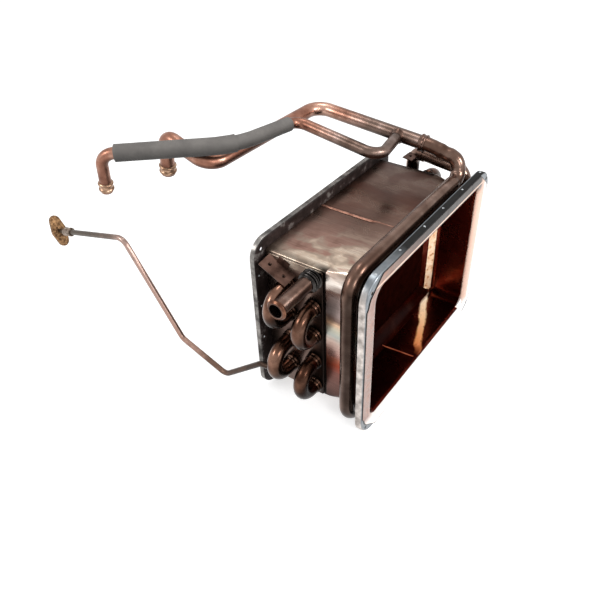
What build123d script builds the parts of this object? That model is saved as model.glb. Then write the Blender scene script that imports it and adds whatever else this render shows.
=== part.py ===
from build123d import *
import os
from math import acos, hypot, sin, tan

# Copper heat exchanger of a water heater: a burner chamber with a finned water core, a coil
# round the chamber, and its pipes. It lies on the lower edge of its burner flange.
# X is the gas axis, from the exhaust end (-X) to the burner mouth (+X). Y is the width and Z is up.
# The origin is the middle of the burner flange's front face. Lengths are in millimetres.

os.makedirs("parts", exist_ok=True)

SEAT_GAP = 0.3               # round pieces to what they sit on or pass through

# Copper casing
SHEET = 0.6
CASE_W = 228.0               # outside width
FLANGE_X = 126.0             # burner flange to the exhaust flange
CORE_X = 55.4                # burner flange to the core section
CHAMBER_R = 13.0             # rounded long edges of the chamber
CORE_R = 3.0                 # folded long edges of the core section
LAP_W = 15.0                 # overlap of the two casing halves
LAP_FOLD = 3.0               # width of the fold that steps the lap outward
TAIL_OUT = 3.0               # casing behind the face of the exhaust flange

# Flared mouth lip, folded over the burner flange
FLARE_R = 5.5
LIP_EDGE = 1.0               # lip to the flange's edge
LIP_CUT_Y = 25.0             # lip corners cut off to show the steel
LIP_CUT_Z = 29.0

# Steel flanges, each with a rim bent back
STEEL = 1.2
BURNER_SIDE = 19.5           # casing to the flange's side edges
BURNER_EDGE = 17.0           # casing to its upper and lower edges
BURNER_RIM = 7.5
BURNER_R = 25.0
BURNER_HOLE_IN = (9.5, 12.0)     # corner holes to the side edges and to the upper and lower ones
EXHAUST_SIDE = 17.5
EXHAUST_EDGE = 13.0
EXHAUST_RIM = 6.0
EXHAUST_R = 20.0
EXHAUST_HOLE_IN = (11.5, 10.0)
FLANGE_HOLE_R = 2.0
FLANGE_GAP = 0.2             # flange opening to the casing

# Water core
TUBE_R = 7.94
TUBE_WALL = 0.9
PITCH = 35.25                # tube pitch in a column
FRONT_X = 68.0               # burner flange to the front column
REAR_X = 97.0                # burner flange to the rear column
FRONT_TUBES = 5
REAR_TUBES = 4
TOP_ROOM = 11.0              # top tube's axis to the top of the casing
LOW_ROOM = 14.0              # lowest tube's axis to its bottom
PLATE = 2.0
PLATE_EDGE = 2.0             # tube plate to the edges of its side
TUBE_OUT = 1.0               # tube end beyond its plate
TUBE_GAP = 0.1               # tube to its holes
FRONT_LEG = 9.0              # plate to the start of a bend
REAR_LEG = 14.0
FINS = 27
FIN = 0.9
FIN_EDGE = 3.56              # tubes to the front and rear edges of a fin
FIN_GAP = 0.3                # fin edges to the casing
FIN_END = 4.0                # end fins to the outside of the casing
FIN_HOLE_SIDES = 6

# Coil round the chamber and its tail
COIL_X = 24.0                # burner flange to the coil
COIL_BEND = 22.0
RISER_IN = 12.0              # side of the casing to the coil's upper end
RISER_BENDS = [24.0, 13.0, 13.0]
TAIL_LEG = 22.0              # tube plate to the coil's tail
TAIL_BEND = 16.0
JOINT_X = 69.0               # burner flange to the joint of coil and feed pipe
SLEEVE_WALL = 1.5
SLEEVE_LEN = 6.5

# Corners of the riser, the feed pipe and the bypass over the casing. Starts have their x from the
# burner flange and the rest from the exhaust flange; y is from the riser, z from the casing's top.
RISER_CORNER = (-28.0, 4.0, 28.0)
FEED_START = (-60.0, 0.0, 38.0)
FEED_CORNERS = [(-85.0, 0.0, 52.0), (-98.0, -180.0, 46.0), (-161.0, -177.0, 66.0), (-170.5, -173.0, 16.0)]
FEED_BENDS = [20.0, 20.0, 13.0]
TEE_X = 100.0                # burner flange to the bypass tee
BYPASS_R = 6.35
BYPASS_WALL = 0.8
BYPASS_START = (-89.0, -62.0, 42.5)
BYPASS_CORNERS = [(-70.0, -62.0, 59.0), (-75.0, -161.5, 68.5), (-184.0, -246.5, 65.5), (-192.5, -242.7, 19.0)]
BYPASS_BENDS = [16.0, 14.0, 60.0, 16.0]
OPEN_DEPTH = 24.0            # bore of an open pipe end
FOAM_R = 9.25
FOAM_START = 15.0            # bend to the near end of the insulation
FOAM_END = 123.0             # long bend's corner to the far end of the insulation
FITTING_STEPS = [(5.0, 1.6), (2.8, 0.7), (3.2, 1.6)]     # length and height over the tube
FITTING_END = 1.5            # pipe end beyond its fitting

# Outlet stub
STUB_LEN = 58.0
COLLAR_STEPS = [(3.0, 3.6), (1.8, 2.6), (2.6, 3.6), (1.8, 2.6), (2.6, 3.2)]
RIM_STEPS = [(1.4, 1.1), (2.2, 2.2), (1.4, 1.5)]

# Drain line, in one upright plane
DRAIN_R = 3.2
DRAIN_WALL = 0.7
DRAIN_STEPS = [(-4.0, -4.25), (-15.0, -2.0), (-54.0, -45.5), (-63.0, 23.5), (-69.0, 113.7), (-126.0, -33.6)]
DRAIN_BENDS = [12.0, 12.0, 13.0, 13.0]
UNION_AT = 23.8              # oval flange to the middle of the union
UNION_WALL = 2.2
UNION_LEN = 13.0
PAD_T = 5.0                  # oval flange
PAD_PITCH = 27.0
PAD_EAR_R = 6.5
PAD_HUB_R = 9.5
PAD_HOLE_R = 2.6

# Sheet bracket over the top left bend
STRAP = 1.5
BRACKET_L = 34.0
BRACKET_W = 16.0
BRACKET_TAB_L = 13.0
BRACKET_TAB_H = 7.0
BRACKET_BACK = 7.0           # rear column to the middle of the bracket
BRACKET_UP = 11.2            # top of the top rear tube to the bracket's fold
BRACKET_TURN = 26.0          # degrees about Y
BRACKET_FALL = 16.0          # slope of the plate
BRACKET_HOLE_R = 1.8

CASE_Y = CASE_W / 2
CASE_H = (FRONT_TUBES - 1) * PITCH + TOP_ROOM + LOW_ROOM
CASE_TOP = CASE_H / 2
TOP_TUBE_Z = CASE_TOP - TOP_ROOM
BURNER_W = CASE_W + 2 * BURNER_SIDE
BURNER_H = CASE_H + 2 * BURNER_EDGE
BURNER_HOLE_Y, BURNER_HOLE_Z = BURNER_W - 2 * BURNER_HOLE_IN[0], BURNER_H - 2 * BURNER_HOLE_IN[1]
EXHAUST_W = CASE_W + 2 * EXHAUST_SIDE
EXHAUST_H = CASE_H + 2 * EXHAUST_EDGE
EXHAUST_HOLE_Y, EXHAUST_HOLE_Z = EXHAUST_W - 2 * EXHAUST_HOLE_IN[0], EXHAUST_H - 2 * EXHAUST_HOLE_IN[1]
LAP_OUT = SHEET + SEAT_GAP                     # round pieces stay outside the lap
PLATE_Y = CASE_Y + PLATE
TUBE_END_Y = PLATE_Y + TUBE_OUT
BEND_R = PITCH / 2
FRONT_COLUMN = [(-FRONT_X, TOP_TUBE_Z - i * PITCH) for i in range(FRONT_TUBES)]
REAR_COLUMN = [(-REAR_X, TOP_TUBE_Z - (i + 0.5) * PITCH) for i in range(REAR_TUBES)]
MIDDLE = Plane(origin=(0, 0, 0), x_dir=(0, 1, 0), z_dir=(1, 0, 0))

RISER_Y = CASE_Y - RISER_IN


def save(shape, name):
    export_step(shape, f"parts/{name}.step")


def slab(width, height, radius, x0, x1):
    """Rounded rectangle across the gas axis, solid from x0 to x1."""
    return extrude(MIDDLE.offset(x0) * RectangleRounded(width, height, radius), amount=x1 - x0)


def route(points, radii):
    """Straight runs joined by tangent arcs, one radius for each inner corner."""
    corners = [Vector(*p) for p in points]
    edges, start = [], corners[0]
    for before, corner, after, radius in zip(corners, corners[1:], corners[2:], radii):
        back, ahead = (before - corner).normalized(), (after - corner).normalized()
        half = acos(back.dot(ahead)) / 2
        first, last = corner + back * (radius / tan(half)), corner + ahead * (radius / tan(half))
        middle = corner + (back + ahead).normalized() * (radius / sin(half) - radius)
        edges += [Line(start, first), ThreePointArc(first, middle, last)]
        start = last
    return Wire(edges + [Line(start, corners[-1])])


def rod(path, radius):
    plane = Plane(origin=path @ 0, z_dir=path % 0)
    return sweep(plane * Circle(radius), path=path)


def ring(plane, steps, bore):
    """Turned ring on a plane: (length, outside radius) steps along its normal, round one bore."""
    parts, at = [], 0
    for length, radius in steps:
        parts.append(extrude(plane.offset(at) * (Circle(radius) - Circle(bore)), amount=length))
        at += length
    body = parts[0]
    for part in parts[1:]:
        body += part
    return body


def end_plane(path, inset):
    """Plane across the last straight run, looking back from the open end."""
    return Plane(origin=(path @ 1) - (path % 1) * inset, z_dir=-(path % 1))


def open_end(body, path, bore):
    return body - extrude(end_plane(path, 0) * Circle(bore), amount=OPEN_DEPTH)


def on_run(start, end, x):
    """Point of a straight run at a given x."""
    a, b = Vector(*start), Vector(*end)
    return a + (b - a) * ((x - a.X) / (b.X - a.X))


def corner_holes(x, pitch_y, pitch_z, depth):
    """Cutters for the four corner holes of a flange."""
    holes = Sketch() + [place * Circle(FLANGE_HOLE_R) for place in GridLocations(pitch_y, pitch_z, 2, 2)]
    return extrude(MIDDLE.offset(x) * holes, amount=depth)


def flange(width, height, radius, face, rim, opening):
    """Pressed flange with its rim bent back, round an opening."""
    body = slab(width, height, radius, face - rim, face)
    body -= slab(width - 2 * STEEL, height - 2 * STEEL, radius - STEEL, face - rim, face - STEEL)
    return body - opening


def u_bend(first, last, side, leg):
    """Return bend between two tube ends, with straight legs out of the tube plate."""
    (x0, z0), (x1, z1) = first, last
    end, turn = side * TUBE_END_Y, side * (PLATE_Y + leg)
    crown = side * (PLATE_Y + leg + hypot(x1 - x0, z1 - z0) / 2)
    arc = ThreePointArc((x0, turn, z0), ((x0 + x1) / 2, crown, (z0 + z1) / 2), (x1, turn, z1))
    return Wire([Line((x0, end, z0), (x0, turn, z0)), arc, Line((x1, turn, z1), (x1, end, z1))])


def over_casing(x0, corners):
    """Corners of a pipe over the casing, with their x from x0."""
    return [(x0 + x, RISER_Y + y, CASE_TOP + z) for x, y, z in corners]


# Casing: chamber and core section with a flared mouth, folded from sheet
outside = slab(CASE_W, CASE_H, CHAMBER_R, -CORE_X, SHEET)
lip = slab(BURNER_W - 2 * LIP_EDGE, BURNER_H - 2 * LIP_EDGE, SHEET, 0, SHEET)
lip_corner = Polyline((BURNER_W / 2 - LIP_EDGE - LIP_CUT_Y, BURNER_H / 2), (BURNER_W / 2, BURNER_H / 2),
                      (BURNER_W / 2, BURNER_H / 2 - LIP_EDGE - LIP_CUT_Z), close=True)
corner_cut = extrude(MIDDLE * make_face(lip_corner), amount=SHEET)
for cut in (corner_cut, corner_cut.mirror(Plane.XZ)):
    lip -= cut
    lip -= cut.mirror(Plane.XY)
outside += lip
flare_root = outside.edges().filter_by(lambda e: abs(e.center().X) < 0.01 and abs(e.center().Y) < CASE_Y + 0.01
                                       and abs(e.center().Z) < CASE_TOP + 0.01)
outside = fillet(flare_root, FLARE_R)
outside += slab(CASE_W, CASE_H, CORE_R, -FLANGE_X - TAIL_OUT, -CORE_X)

inside = slab(CASE_W - 2 * SHEET, CASE_H - 2 * SHEET, CHAMBER_R - SHEET, -CORE_X, SHEET)
casing = outside - inside
mouth_edge = casing.edges().filter_by(lambda e: abs(e.center().X - SHEET) < 0.01 and abs(e.center().Y) < CASE_Y
                                      and abs(e.center().Z) < CASE_TOP)
casing = fillet(mouth_edge, FLARE_R + SHEET)
casing -= slab(CASE_W - 2 * SHEET, CASE_H - 2 * SHEET, CORE_R - SHEET, -FLANGE_X - TAIL_OUT, -CORE_X)

# Tube holes through both sides, and the two halves with the upper one lapped over at the seams
bores = [extrude(Plane(origin=(x, -PLATE_Y, z), z_dir=(0, 1, 0)) * Circle(TUBE_R + TUBE_GAP), amount=2 * PLATE_Y)
         for x, z in FRONT_COLUMN + REAR_COLUMN]
for bore in bores:
    casing -= bore
near_half = split(casing, bisect_by=Plane.XZ, keep=Keep.TOP)
far_half = split(casing, bisect_by=Plane.XZ, keep=Keep.BOTTOM)
if near_half.center().Y > 0:
    near_half, far_half = far_half, near_half
lap_len = FLANGE_X - FLARE_R
lap = Pos(-FLANGE_X, -LAP_W, CASE_TOP) * Box(lap_len, LAP_W + LAP_FOLD, SHEET, align=Align.MIN)
far_half += [lap, lap.mirror(Plane.XY)]
save(near_half, "casing_half_left")
save(far_half, "casing_half_right")

# Flanges
burner_hole = slab(CASE_W + 2 * (FLARE_R + FLANGE_GAP), CASE_H + 2 * (FLARE_R + FLANGE_GAP),
                   CHAMBER_R + FLARE_R + FLANGE_GAP, -BURNER_RIM, 0)
burner = flange(BURNER_W, BURNER_H, BURNER_R, 0, BURNER_RIM, burner_hole)
save(burner - corner_holes(-BURNER_RIM, BURNER_HOLE_Y, BURNER_HOLE_Z, BURNER_RIM), "burner_flange")
exhaust_hole = slab(CASE_W + 2 * FLANGE_GAP, CASE_H + 2 * FLANGE_GAP, CORE_R + FLANGE_GAP,
                    -FLANGE_X - EXHAUST_RIM, -FLANGE_X)
exhaust = flange(EXHAUST_W, EXHAUST_H, EXHAUST_R, -FLANGE_X, EXHAUST_RIM, exhaust_hole)
holes = corner_holes(-FLANGE_X - EXHAUST_RIM, EXHAUST_HOLE_Y, EXHAUST_HOLE_Z, EXHAUST_RIM)
save(exhaust - holes, "exhaust_flange")

# Water core: tube plates, fins, straight tubes and return bends
plate_l = FLANGE_X - CORE_X - 2 * PLATE_EDGE
plate_h = CASE_H - 2 * PLATE_EDGE
plate_x = -(FLANGE_X + CORE_X) / 2
for side, name in ((-1, "left"), (1, "right")):
    face = Plane(origin=(plate_x, side * CASE_Y, 0), x_dir=(1, 0, 0), z_dir=(0, side, 0))
    plate = extrude(face * RectangleRounded(plate_l, plate_h, CORE_R), amount=PLATE)
    for bore in bores:
        plate -= bore
    save(plate, f"tube_plate_{name}")

fin_hole = RegularPolygon(TUBE_R + TUBE_GAP, FIN_HOLE_SIDES, major_radius=False)
fin_x = -(FRONT_X + REAR_X) / 2
fin_depth = REAR_X - FRONT_X + 2 * (TUBE_R + FIN_EDGE)
fin_face = Pos(fin_x, 0) * Rectangle(fin_depth, CASE_H - 2 * (SHEET + FIN_GAP))
for x, z in FRONT_COLUMN + REAR_COLUMN:
    fin_face -= Pos(x, z) * fin_hole
fin_span = CASE_W - 2 * FIN_END - FIN
fin = extrude(Plane.XZ * fin_face, amount=FIN / 2, both=True)
fins = [Pos(0, fin_span * (i / (FINS - 1) - 0.5), 0) * fin for i in range(FINS)]
save(Compound(children=fins), "fin_pack")

for name, column in (("front", FRONT_COLUMN), ("rear", REAR_COLUMN)):
    for i, (x, z) in enumerate(column):
        straight = Plane(origin=(x, -TUBE_END_Y, z), z_dir=(0, 1, 0)) * Circle(TUBE_R)
        save(extrude(straight, amount=2 * TUBE_END_Y), f"{name}_tube_{i + 1}")

LEFT_BENDS = [(FRONT_COLUMN[1], FRONT_COLUMN[2], FRONT_LEG), (FRONT_COLUMN[3], FRONT_COLUMN[4], FRONT_LEG),
              (REAR_COLUMN[0], REAR_COLUMN[1], REAR_LEG), (REAR_COLUMN[2], REAR_COLUMN[3], REAR_LEG)]
RIGHT_BENDS = [(FRONT_COLUMN[0], FRONT_COLUMN[1], FRONT_LEG), (FRONT_COLUMN[2], FRONT_COLUMN[3], FRONT_LEG),
               (FRONT_COLUMN[4], REAR_COLUMN[3], FRONT_LEG), (REAR_COLUMN[1], REAR_COLUMN[2], REAR_LEG)]
for side, name, bends in ((-1, "left", LEFT_BENDS), (1, "right", RIGHT_BENDS)):
    for i, (first, last, leg) in enumerate(bends):
        save(rod(u_bend(first, last, side, leg), TUBE_R), f"{name}_bend_{i + 1}")

# Coil: down from the feed joint, once round the chamber, and by its tail into the top rear tube
coil_y = CASE_Y + LAP_OUT + TUBE_R
coil_z = CASE_TOP + LAP_OUT + TUBE_R
riser_corner, feed_start, bypass_start = over_casing(0, [RISER_CORNER, FEED_START, BYPASS_START])
feed_corners = over_casing(-FLANGE_X, FEED_CORNERS)
joint = on_run(feed_start, feed_corners[0], -JOINT_X)
tail_y, tail_z = PLATE_Y + TAIL_LEG, REAR_COLUMN[0][1]
coil_path = route(
    [joint, feed_start, riser_corner, (-COIL_X, RISER_Y, coil_z), (-COIL_X, -coil_y, coil_z),
     (-COIL_X, -coil_y, -coil_z), (-COIL_X, coil_y, -coil_z), (-COIL_X, coil_y, coil_z),
     (-REAR_X, tail_y, coil_z), (-REAR_X, tail_y, tail_z), (-REAR_X, TUBE_END_Y, tail_z)],
    [*RISER_BENDS, COIL_BEND, COIL_BEND, COIL_BEND, TAIL_BEND, TAIL_BEND, TAIL_BEND])
save(rod(coil_path, TUBE_R), "wrap_coil")

# Feed pipe, its joint sleeve and beaded end
feed_path = route([joint, *feed_corners], FEED_BENDS)
save(open_end(rod(feed_path, TUBE_R), feed_path, TUBE_R - TUBE_WALL), "feed_pipe")
seat = TUBE_R + SEAT_GAP
sleeve_plane = Plane(origin=joint - (feed_path % 0) * (SLEEVE_LEN / 2), z_dir=feed_path % 0)
save(ring(sleeve_plane, [(SLEEVE_LEN, seat + SLEEVE_WALL)], seat), "joint_sleeve")
save(ring(end_plane(feed_path, FITTING_END), [(n, seat + h) for n, h in FITTING_STEPS], seat), "feed_fitting")

# Bypass pipe from the tee, its beaded end and its insulation in two lengths
tee = on_run(feed_start, feed_corners[0], -TEE_X)
bypass_corners = over_casing(-FLANGE_X, BYPASS_CORNERS)
bypass_path = route([tee, bypass_start, *bypass_corners], BYPASS_BENDS)
bypass = open_end(rod(bypass_path, BYPASS_R), bypass_path, BYPASS_R - BYPASS_WALL)
run = Wire([Line(joint, feed_corners[0])])
save(bypass - rod(run, TUBE_R + SEAT_GAP), "bypass_pipe")
seat = BYPASS_R + SEAT_GAP
save(ring(end_plane(bypass_path, FITTING_END), [(n, seat + h) for n, h in FITTING_STEPS], seat), "bypass_fitting")
bend, corner, far = (Vector(*p) for p in bypass_corners[:3])
ahead, onward = (corner - bend).normalized(), (far - corner).normalized()
foam_path = route([bend + ahead * FOAM_START, corner, corner + onward * FOAM_END], BYPASS_BENDS[2:3])
foam = rod(foam_path, FOAM_R) - rod(foam_path, seat)
meeting = Plane(origin=corner, z_dir=(ahead + onward).normalized())
save(split(foam, bisect_by=meeting, keep=Keep.BOTTOM), "insulation_near")
save(split(foam, bisect_by=meeting, keep=Keep.TOP), "insulation_far")

# Outlet stub
seat = TUBE_R + SEAT_GAP
out_x, out_z = FRONT_COLUMN[0]
stub_plane = Plane(origin=(out_x, -TUBE_END_Y, out_z), z_dir=(0, -1, 0))
save(ring(stub_plane, [(STUB_LEN, TUBE_R)], TUBE_R - TUBE_WALL), "outlet_stub")
collar_plane = Plane(origin=(out_x, -PLATE_Y, out_z), z_dir=(0, -1, 0))
save(ring(collar_plane, [(n, seat + h) for n, h in COLLAR_STEPS], seat), "outlet_collar")
rim_plane = Plane(origin=(out_x, -TUBE_END_Y - STUB_LEN, out_z), z_dir=(0, 1, 0))
save(ring(rim_plane, [(n, seat + h) for n, h in RIM_STEPS], seat), "outlet_rim")

# Drain line from the lower left bend, its union and its oval flange
drain_y = -(PLATE_Y + REAR_LEG + BEND_R)
drain_x, drain_z = -REAR_X, (LEFT_BENDS[3][0][1] + LEFT_BENDS[3][1][1]) / 2
drain_points = []
for dx, dz in DRAIN_STEPS:
    drain_x, drain_z = drain_x + dx, drain_z + dz
    drain_points.append((drain_x, drain_y, drain_z))
drain_path = route(drain_points, DRAIN_BENDS)
drained_bend = rod(u_bend(*LEFT_BENDS[3][:2], -1, REAR_LEG), TUBE_R + SEAT_GAP)
save(open_end(rod(drain_path, DRAIN_R), drain_path, DRAIN_R - DRAIN_WALL) - drained_bend, "drain_line")
seat = DRAIN_R + SEAT_GAP
way = drain_path % 1
union_at = (drain_path @ 1) - way * (UNION_AT + UNION_LEN / 2)
save(ring(Plane(origin=union_at, z_dir=way), [(UNION_LEN, seat + UNION_WALL)], seat), "drain_union")
pad_plane = Plane(origin=drain_path @ 1, x_dir=(0, 1, 0), z_dir=-way)
ears = [Pos(0, PAD_PITCH / 2), Pos(0, -PAD_PITCH / 2)]
pad_edges = ShapeList(Circle(PAD_HUB_R).edges())
for ear in ears:
    pad_edges += (ear * Circle(PAD_EAR_R)).edges()
pad_face = make_hull(pad_edges)
pad_face -= [Circle(seat)] + [ear * Circle(PAD_HOLE_R) for ear in ears]
save(extrude(pad_plane * pad_face, amount=PAD_T), "drain_flange")

# Sheet bracket
bracket = Rot(BRACKET_FALL, 0, 0) * Box(BRACKET_L, BRACKET_W, STRAP, align=(Align.CENTER, Align.MAX, Align.MAX))
bracket += Pos(0, 0, -STRAP) * Box(BRACKET_TAB_L, STRAP, BRACKET_TAB_H + STRAP,
                                    align=(Align.CENTER, Align.MAX, Align.MIN))
for place in GridLocations(BRACKET_L - BRACKET_W, 0, 2, 1):
    bracket -= place * Pos(0, -BRACKET_W / 2, 0) * Cylinder(BRACKET_HOLE_R, BRACKET_W)
bracket &= Box(BRACKET_L, 2 * BRACKET_W, 2 * BRACKET_W, align=(Align.CENTER, Align.MAX, Align.CENTER))
bracket_at = Pos(-REAR_X - BRACKET_BACK, -PLATE_Y, REAR_COLUMN[0][1] + TUBE_R + BRACKET_UP)
save(bracket_at * Rot(0, BRACKET_TURN, 0) * bracket, "bracket")
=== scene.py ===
import bpy
from math import acos, ceil, cos, hypot, pi, radians, sin, tan
from mathutils import Matrix, Vector, noise
from mathutils.geometry import delaunay_2d_cdt


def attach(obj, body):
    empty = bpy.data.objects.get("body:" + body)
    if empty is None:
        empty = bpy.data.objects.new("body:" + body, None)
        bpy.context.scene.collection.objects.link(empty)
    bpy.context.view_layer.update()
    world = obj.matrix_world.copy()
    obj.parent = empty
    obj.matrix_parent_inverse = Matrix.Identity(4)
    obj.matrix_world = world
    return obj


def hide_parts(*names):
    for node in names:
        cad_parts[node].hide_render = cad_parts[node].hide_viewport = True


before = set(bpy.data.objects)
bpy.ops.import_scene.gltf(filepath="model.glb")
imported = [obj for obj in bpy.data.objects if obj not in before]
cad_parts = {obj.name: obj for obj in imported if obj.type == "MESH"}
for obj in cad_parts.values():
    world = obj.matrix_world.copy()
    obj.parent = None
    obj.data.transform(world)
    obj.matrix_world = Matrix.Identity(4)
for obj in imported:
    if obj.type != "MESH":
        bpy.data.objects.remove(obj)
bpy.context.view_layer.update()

# A used copper heat exchanger: folded casing, finned core, coil, pipes and steel flanges.
# Sizes are in millimetres here and become metres when a mesh is made. The origin is the middle
# of the burner flange's front face, with +X out of the mouth, +Y across the width and +Z up.
MM = 0.001

# Casing
SHEET = 0.6
CASE_Y = 114.0
CASE_Z = 83.0
CHAMBER_R = 13.0
CORE_R = 3.0
CORE_X = -55.4
CASE_END_X = -129.0
FLARE_R = 5.5
LIP_Y = 132.5
LIP_Z = 99.0

# Flanges
BURNER_Y, BURNER_Z, BURNER_R, BURNER_RIM = 133.5, 100.0, 25.0, 7.5
EXHAUST_X = -126.0
EXHAUST_Y, EXHAUST_Z, EXHAUST_R, EXHAUST_RIM = 131.5, 96.0, 20.0, 6.0
STEEL = 1.2

# Tubes
TUBE_R = 7.94
TUBE_WALL = 0.9
PLATE_Y = 116.0
TUBE_END_Y = 117.0
FRONT_X, REAR_X, PITCH = -68.0, -97.0, 35.25
FRONT_COLUMN = [(FRONT_X, 72.0 - i * PITCH) for i in range(5)]
REAR_COLUMN = [(REAR_X, 72.0 - (i + 0.5) * PITCH) for i in range(4)]
COIL_Y, COIL_Z = 122.84, 91.84


# Mesh tools

def link(name, mesh, material, replaced=(), sharp=35):
    """Adds a finished mesh as a piece that rides with the exchanger."""
    piece = bpy.data.objects.new(name, mesh)
    bpy.context.scene.collection.objects.link(piece)
    mesh.materials.append(material)
    mesh.shade_smooth()
    mesh.set_sharp_from_angle(angle=radians(sharp))
    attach(piece, "root")
    if replaced:
        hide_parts(*replaced)
    return piece


def mesh_from(name, points, faces):
    """Mesh in metres from points in millimetres."""
    mesh = bpy.data.meshes.new(name)
    mesh.from_pydata([Vector(p) * MM for p in points], [], faces)
    mesh.validate()
    mesh.update()
    return mesh


def closed_sheet(name, rows, material, replaced=(), around=True, sharp=35):
    """Sheet piece from rows of points that run once round its section. around closes each row on
    itself; without it, flat ends close the rows."""
    columns, count = len(rows[0]), len(rows)
    faces = []
    for r in range(count):
        n = (r + 1) % count
        for c in range(columns if around else columns - 1):
            d = (c + 1) % columns
            faces.append((r * columns + c, r * columns + d, n * columns + d, n * columns + c))
    if not around:
        faces.append(tuple(r * columns for r in range(count)))
        faces.append(tuple(r * columns + columns - 1 for r in reversed(range(count))))
    mesh = mesh_from(name, [p for row in rows for p in row], faces)
    return link(name, mesh, material, replaced, sharp)


def capped(name, rows, material, replaced=(), flip=False):
    """Solid piece from rings of points, with a flat cap on the first and the last."""
    columns = len(rows[0])
    last = (len(rows) - 1) * columns
    faces = [(r + c, r + (c + 1) % columns, r + columns + (c + 1) % columns, r + columns + c)
             for r in range(0, last, columns) for c in range(columns)]
    faces += [tuple(reversed(range(columns))), tuple(range(last, last + columns))]
    if flip:
        faces = [tuple(reversed(f)) for f in faces]
    return link(name, mesh_from(name, [p for row in rows for p in row], faces), material, replaced)


def frame_about(direction):
    """Two unit vectors square to a direction and to each other."""
    side = direction.cross(Vector((0, 0, 1)))
    if side.length < 1e-3:
        side = direction.cross(Vector((1, 0, 0)))
    side.normalize()
    return side, side.cross(direction).normalized()


def bent_route(corners, radii, step=2.0):
    """Points of a bent pipe's centre line: straight runs and tangent arcs, about a step apart."""
    corners = [Vector(c) for c in corners]
    points = [corners[0]]
    for before, corner, after, radius in zip(corners, corners[1:], corners[2:], radii):
        back, ahead = (before - corner).normalized(), (after - corner).normalized()
        half = acos(max(-1, min(1, back.dot(ahead)))) / 2
        reach, turn = radius / tan(half), pi - 2 * half
        centre = corner + (back + ahead).normalized() * (radius / sin(half))
        first = corner + back * reach
        run = first - points[-1]
        count = max(1, ceil(run.length / step))
        points += [points[-1] + run * (i / count) for i in range(1, count + 1)]
        spoke, way = first - centre, -back
        count = max(3, ceil(radius * turn / step))
        points += [centre + spoke * cos(turn * i / count) + way * radius * sin(turn * i / count)
                   for i in range(1, count + 1)]
    run = corners[-1] - points[-1]
    count = max(1, ceil(run.length / step))
    return points + [points[-1] + run * (i / count) for i in range(1, count + 1)]


def pipe(name, points, radius, material, replaced=(), swell=None, bore=0.0, sides=32):
    """Round pipe along a centre line. swell(distance) adds to the radius, and a bore opens both ends."""
    ways = [(b - a).normalized() for a, b in zip(points, points[1:])]
    ways = [ways[0]] + [(a + b).normalized() for a, b in zip(ways, ways[1:])] + [ways[-1]]
    side, up = frame_about(ways[0])
    travelled, outer, inner = 0.0, [], []
    for i, (point, way) in enumerate(zip(points, ways)):
        if i:
            travelled += (point - points[i - 1]).length
            side = (side - way * side.dot(way)).normalized()
            up = side.cross(way).normalized()
        angles = [2 * pi * k / sides for k in range(sides)]
        spokes = [side * cos(a) + up * sin(a) for a in angles]
        r = radius + (swell(travelled) if swell else 0.0)
        outer.append([point + spoke * r for spoke in spokes])
        inner.append([point + spoke * bore for spoke in spokes])
    if bore:
        return closed_sheet(name, outer[::-1] + inner, material, replaced)
    return capped(name, outer, material, replaced, flip=True)


def turned(name, origin, axis, profile, material, replaced=(), sides=48, wobble=0.0,
           sharp=35):
    """Turned piece: a closed profile of (along, radius) points, spun about an axis."""
    origin, axis = Vector(origin), Vector(axis).normalized()
    side, up = frame_about(axis)
    rows = []
    for along, radius in profile:
        row = []
        for k in range(sides):
            a = 2 * pi * k / sides
            r = radius * (1 + wobble * noise.noise(Vector((cos(a) * 2, sin(a) * 2, along * 0.2))))
            row.append(origin + axis * along + (side * cos(a) + up * sin(a)) * r)
        rows.append(row)
    return closed_sheet(name, rows, material, replaced, sharp=sharp)


def bump_profile(length, height, count):
    """Rounded bead: (along, height) points of a half wave."""
    return [(length * i / count, height * sin(pi * i / count)) for i in range(count + 1)]


def rounded_rectangle(half_y, half_z, radius, corner_steps=10, long_steps=44, short_steps=30):
    """Points and outward normals round a rectangle, from the middle of its lower side towards +Y."""
    ring = []
    for turn, sy, sz in ((-pi / 2, 1, -1), (0, 1, 1), (pi / 2, -1, 1), (pi, -1, -1)):
        centre = Vector((0, sy * (half_y - radius), sz * (half_z - radius)))
        for k in range(corner_steps + 1):
            a = turn + pi / 2 * k / corner_steps
            normal = Vector((0, cos(a), sin(a)))
            ring.append((centre + normal * radius, normal))
        normal = ring[-1][1].copy()
        along = Vector((0, -normal.z, normal.y))
        length = 2 * ((half_y if abs(normal.z) > 0.5 else half_z) - radius)
        steps = long_steps if abs(normal.z) > 0.5 else short_steps
        ring += [(ring[-1][0] + along * (length * k / steps), normal) for k in range(1, steps)]
    middle = len(ring) - long_steps // 2
    return ring[middle:] + ring[:middle]


# Material tools

def colour(hex_value):
    """sRGB hex colour as linear RGBA."""
    parts = [int(hex_value[i:i + 2], 16) / 255 for i in (1, 3, 5)]
    return tuple(c / 12.92 if c <= 0.04045 else ((c + 0.055) / 1.055) ** 2.4 for c in parts) + (1.0,)


def result(node):
    """A node's main output, which a colour mix has in third place."""
    return node.outputs[2 if node.bl_idname == "ShaderNodeMix" else 0]


def add(tree, kind, inputs=None, to=None, stops=None, **settings):
    """Adds a node: its settings, what its inputs take, a ramp's stops, and where its result goes."""
    made = tree.nodes.new("ShaderNode" + kind)
    for key, value in settings.items():
        setattr(made, key, value)
    for key, value in (inputs or {}).items():
        value = result(value) if isinstance(value, bpy.types.Node) else value
        if isinstance(value, bpy.types.NodeSocket):
            tree.links.new(value, made.inputs[key])
        else:
            made.inputs[key].default_value = colour(value) if isinstance(value, str) else value
    if stops:
        ramp = made.color_ramp
        while len(ramp.elements) < len(stops):
            ramp.elements.new(0.5)
        for element, (place, tone) in zip(ramp.elements, stops):
            element.position, element.color = place, colour(tone)
    if to:
        tree.links.new(result(made), to)
    return made


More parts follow.
